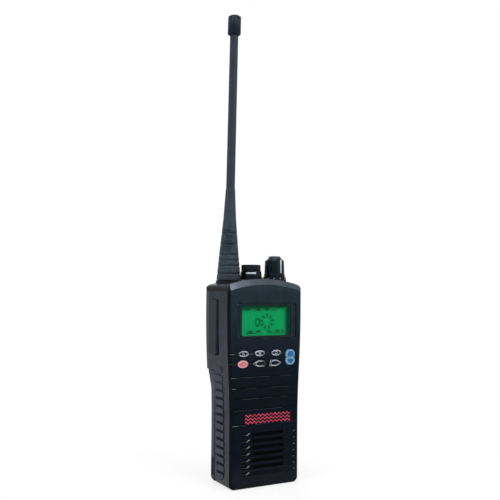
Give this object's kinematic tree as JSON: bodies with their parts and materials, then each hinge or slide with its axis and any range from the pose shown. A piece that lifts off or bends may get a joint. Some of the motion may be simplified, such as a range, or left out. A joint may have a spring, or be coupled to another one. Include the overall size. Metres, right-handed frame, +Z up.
{
  "type": "vhf marine radio",
  "caption": "Upright handheld marine radio with a green display, keypad, push-to-talk bar, two top knobs, a whip antenna, a battery pack and a belt clip.",
  "frame": {"origin": "middle of the flat base that the radio stands on", "axes": "+Z up along the antenna, -Y out of the display and keypad, +X to the right as seen from the front"},
  "size_m": [0.068, 0.05, 0.3476],
  "materials": {
    "case_plastic": "satin moulded polycarbonate",
    "cast_housing": "powder coated die casting",
    "pack_plastic": "fine textured plastic",
    "lid_plastic": "satin plastic",
    "catch_plastic": "smooth acetal",
    "pad_rubber": "moulded rubber, matt",
    "bar_rubber": "moulded rubber, matt",
    "seal_rubber": "soft rubber",
    "window_plastic": "clear polished window with a printed black border",
    "display": "green liquid crystal display",
    "key_grey": "satin keys with printed outlines",
    "key_red": "satin coloured key",
    "key_blue": "satin coloured key",
    "dome_metal": "stamped spring metal",
    "knob_plastic": "satin moulded knob",
    "knob_gloss": "polished plastic",
    "antenna_rubber": "flexible sleeve, matt",
    "tip_plastic": "smooth end cap",
    "connector_brass": "turned brass",
    "steel": "stainless steel",
    "board": "solder masked laminate",
    "shield": "tin plated sheet",
    "control_housing": "moulded switch housings",
    "speaker_metal": "pressed steel basket and magnet",
    "speaker_paper": "thin plastic cone",
    "membrane": "waterproof membrane",
    "mic_metal": "drawn can",
    "cell_wrap": "shrink wrapped cells",
    "port_plastic": "moulded plug insert",
    "cover_plastic": "satin plastic cover and thumbscrew",
    "clip_plastic": "satin glass filled plastic"
  },
  "bodies": {
    "radio": {"accessory_cover": "cover_plastic", "accessory_screw": "cover_plastic", "accessory_socket": "port_plastic", "antenna_boot": "antenna_rubber", "antenna_seal": "seal_rubber", "antenna_socket": "connector_brass", "antenna_stud": "connector_brass", "antenna_tip": "tip_plastic", "antenna_whip": "antenna_rubber", "back_casting": "cast_housing", "battery_case": "pack_plastic", "battery_cells": "cell_wrap", "battery_contacts": "connector_brass", "battery_lid": "lid_plastic", "case_screws": "steel", "clip_bracket": "clip_plastic", "clip_pin": "steel", "clip_screws": "steel", "clip_spring": "steel", "control_board": "board", "cover_seal": "seal_rubber", "display_gasket": "seal_rubber", "display_module": "display", "display_window": "window_plastic", "front_shell": "case_plastic", "grille_membrane": "membrane", "grip_pad_left": "pad_rubber", "grip_pad_right": "pad_rubber", "key_domes": "dome_metal", "keypad_mat": "seal_rubber", "main_board": "board", "microphone": "mic_metal", "ptt_seal": "seal_rubber", "ptt_switch": "control_housing", "selector_switch": "control_housing", "shield_cans": "shield", "speaker": "speaker_metal", "speaker_cone": "speaker_paper", "spring_contacts": "connector_brass", "top_cap": "case_plastic", "volume_encoder": "control_housing"},
    "volume_control": {"volume_knob": "knob_plastic", "volume_cap": "knob_gloss", "volume_shaft": "steel"},
    "selector_control": {"selector_disc": "knob_plastic", "selector_skirt": "knob_gloss", "selector_shaft": "steel"},
    "push_to_talk_bar": {"ptt_bar": "bar_rubber"},
    "key_menu_1_cap": {"key_menu_1": "key_grey"},
    "key_menu_2_cap": {"key_menu_2": "key_grey"},
    "key_menu_3_cap": {"key_menu_3": "key_grey"},
    "key_red_cap": {"key_red": "key_red"},
    "key_left_cap": {"key_left": "key_grey"},
    "key_right_cap": {"key_right": "key_grey"},
    "key_up_cap": {"key_up": "key_blue"},
    "key_down_cap": {"key_down": "key_blue"},
    "left_catch": {"catch_left": "catch_plastic"},
    "right_catch": {"catch_right": "catch_plastic"},
    "belt_clip": {"clip_plate": "clip_plastic"}
  },
  "joints": [
    {"name": "volume_turn", "type": "hinge", "parent": "radio", "child": "volume_control", "pos_m": [0.0195, 0.002, 0.1504], "axis": [0, 0, -1], "range_deg": [0, 270]},
    {"name": "selector_turn", "type": "hinge", "parent": "radio", "child": "selector_control", "pos_m": [-0.001, 0.002, 0.1498], "axis": [0, 0, -1], "range_deg": [0, 337.5]},
    {"name": "push_to_talk", "type": "slide", "parent": "radio", "child": "push_to_talk_bar", "axis": [1, 0, 0], "range_m": [0, 0.0012], "stiffness_N_per_m": 1500, "springref_m": -0.001},
    {"name": "key_menu_1_press", "type": "slide", "parent": "radio", "child": "key_menu_1_cap", "axis": [0, 1, 0], "range_m": [0, 0.0005], "stiffness_N_per_m": 2000, "springref_m": -0.0005},
    {"name": "key_menu_2_press", "type": "slide", "parent": "radio", "child": "key_menu_2_cap", "axis": [0, 1, 0], "range_m": [0, 0.0005], "stiffness_N_per_m": 2000, "springref_m": -0.0005},
    {"name": "key_menu_3_press", "type": "slide", "parent": "radio", "child": "key_menu_3_cap", "axis": [0, 1, 0], "range_m": [0, 0.0005], "stiffness_N_per_m": 2000, "springref_m": -0.0005},
    {"name": "key_red_press", "type": "slide", "parent": "radio", "child": "key_red_cap", "axis": [0, 1, 0], "range_m": [0, 0.0005], "stiffness_N_per_m": 2000, "springref_m": -0.0005},
    {"name": "key_left_press", "type": "slide", "parent": "radio", "child": "key_left_cap", "axis": [0, 1, 0], "range_m": [0, 0.0005], "stiffness_N_per_m": 2000, "springref_m": -0.0005},
    {"name": "key_right_press", "type": "slide", "parent": "radio", "child": "key_right_cap", "axis": [0, 1, 0], "range_m": [0, 0.0005], "stiffness_N_per_m": 2000, "springref_m": -0.0005},
    {"name": "key_up_press", "type": "slide", "parent": "radio", "child": "key_up_cap", "axis": [0, 1, 0], "range_m": [0, 0.0005], "stiffness_N_per_m": 2000, "springref_m": -0.0005},
    {"name": "key_down_press", "type": "slide", "parent": "radio", "child": "key_down_cap", "axis": [0, 1, 0], "range_m": [0, 0.0005], "stiffness_N_per_m": 2000, "springref_m": -0.0005},
    {"name": "left_catch_press", "type": "slide", "parent": "radio", "child": "left_catch", "axis": [1, 0, 0], "range_m": [0, 0.0012], "stiffness_N_per_m": 1500, "springref_m": -0.001},
    {"name": "right_catch_press", "type": "slide", "parent": "radio", "child": "right_catch", "axis": [-1, 0, 0], "range_m": [0, 0.0012], "stiffness_N_per_m": 1500, "springref_m": -0.001},
    {"name": "belt_clip_swing", "type": "hinge", "parent": "radio", "child": "belt_clip", "pos_m": [0, 0.025, 0.126], "axis": [1, 0, 0], "range_deg": [0, 20], "stiffness_Nm_per_rad": 0.3, "springref_deg": -20.05}
  ]
}
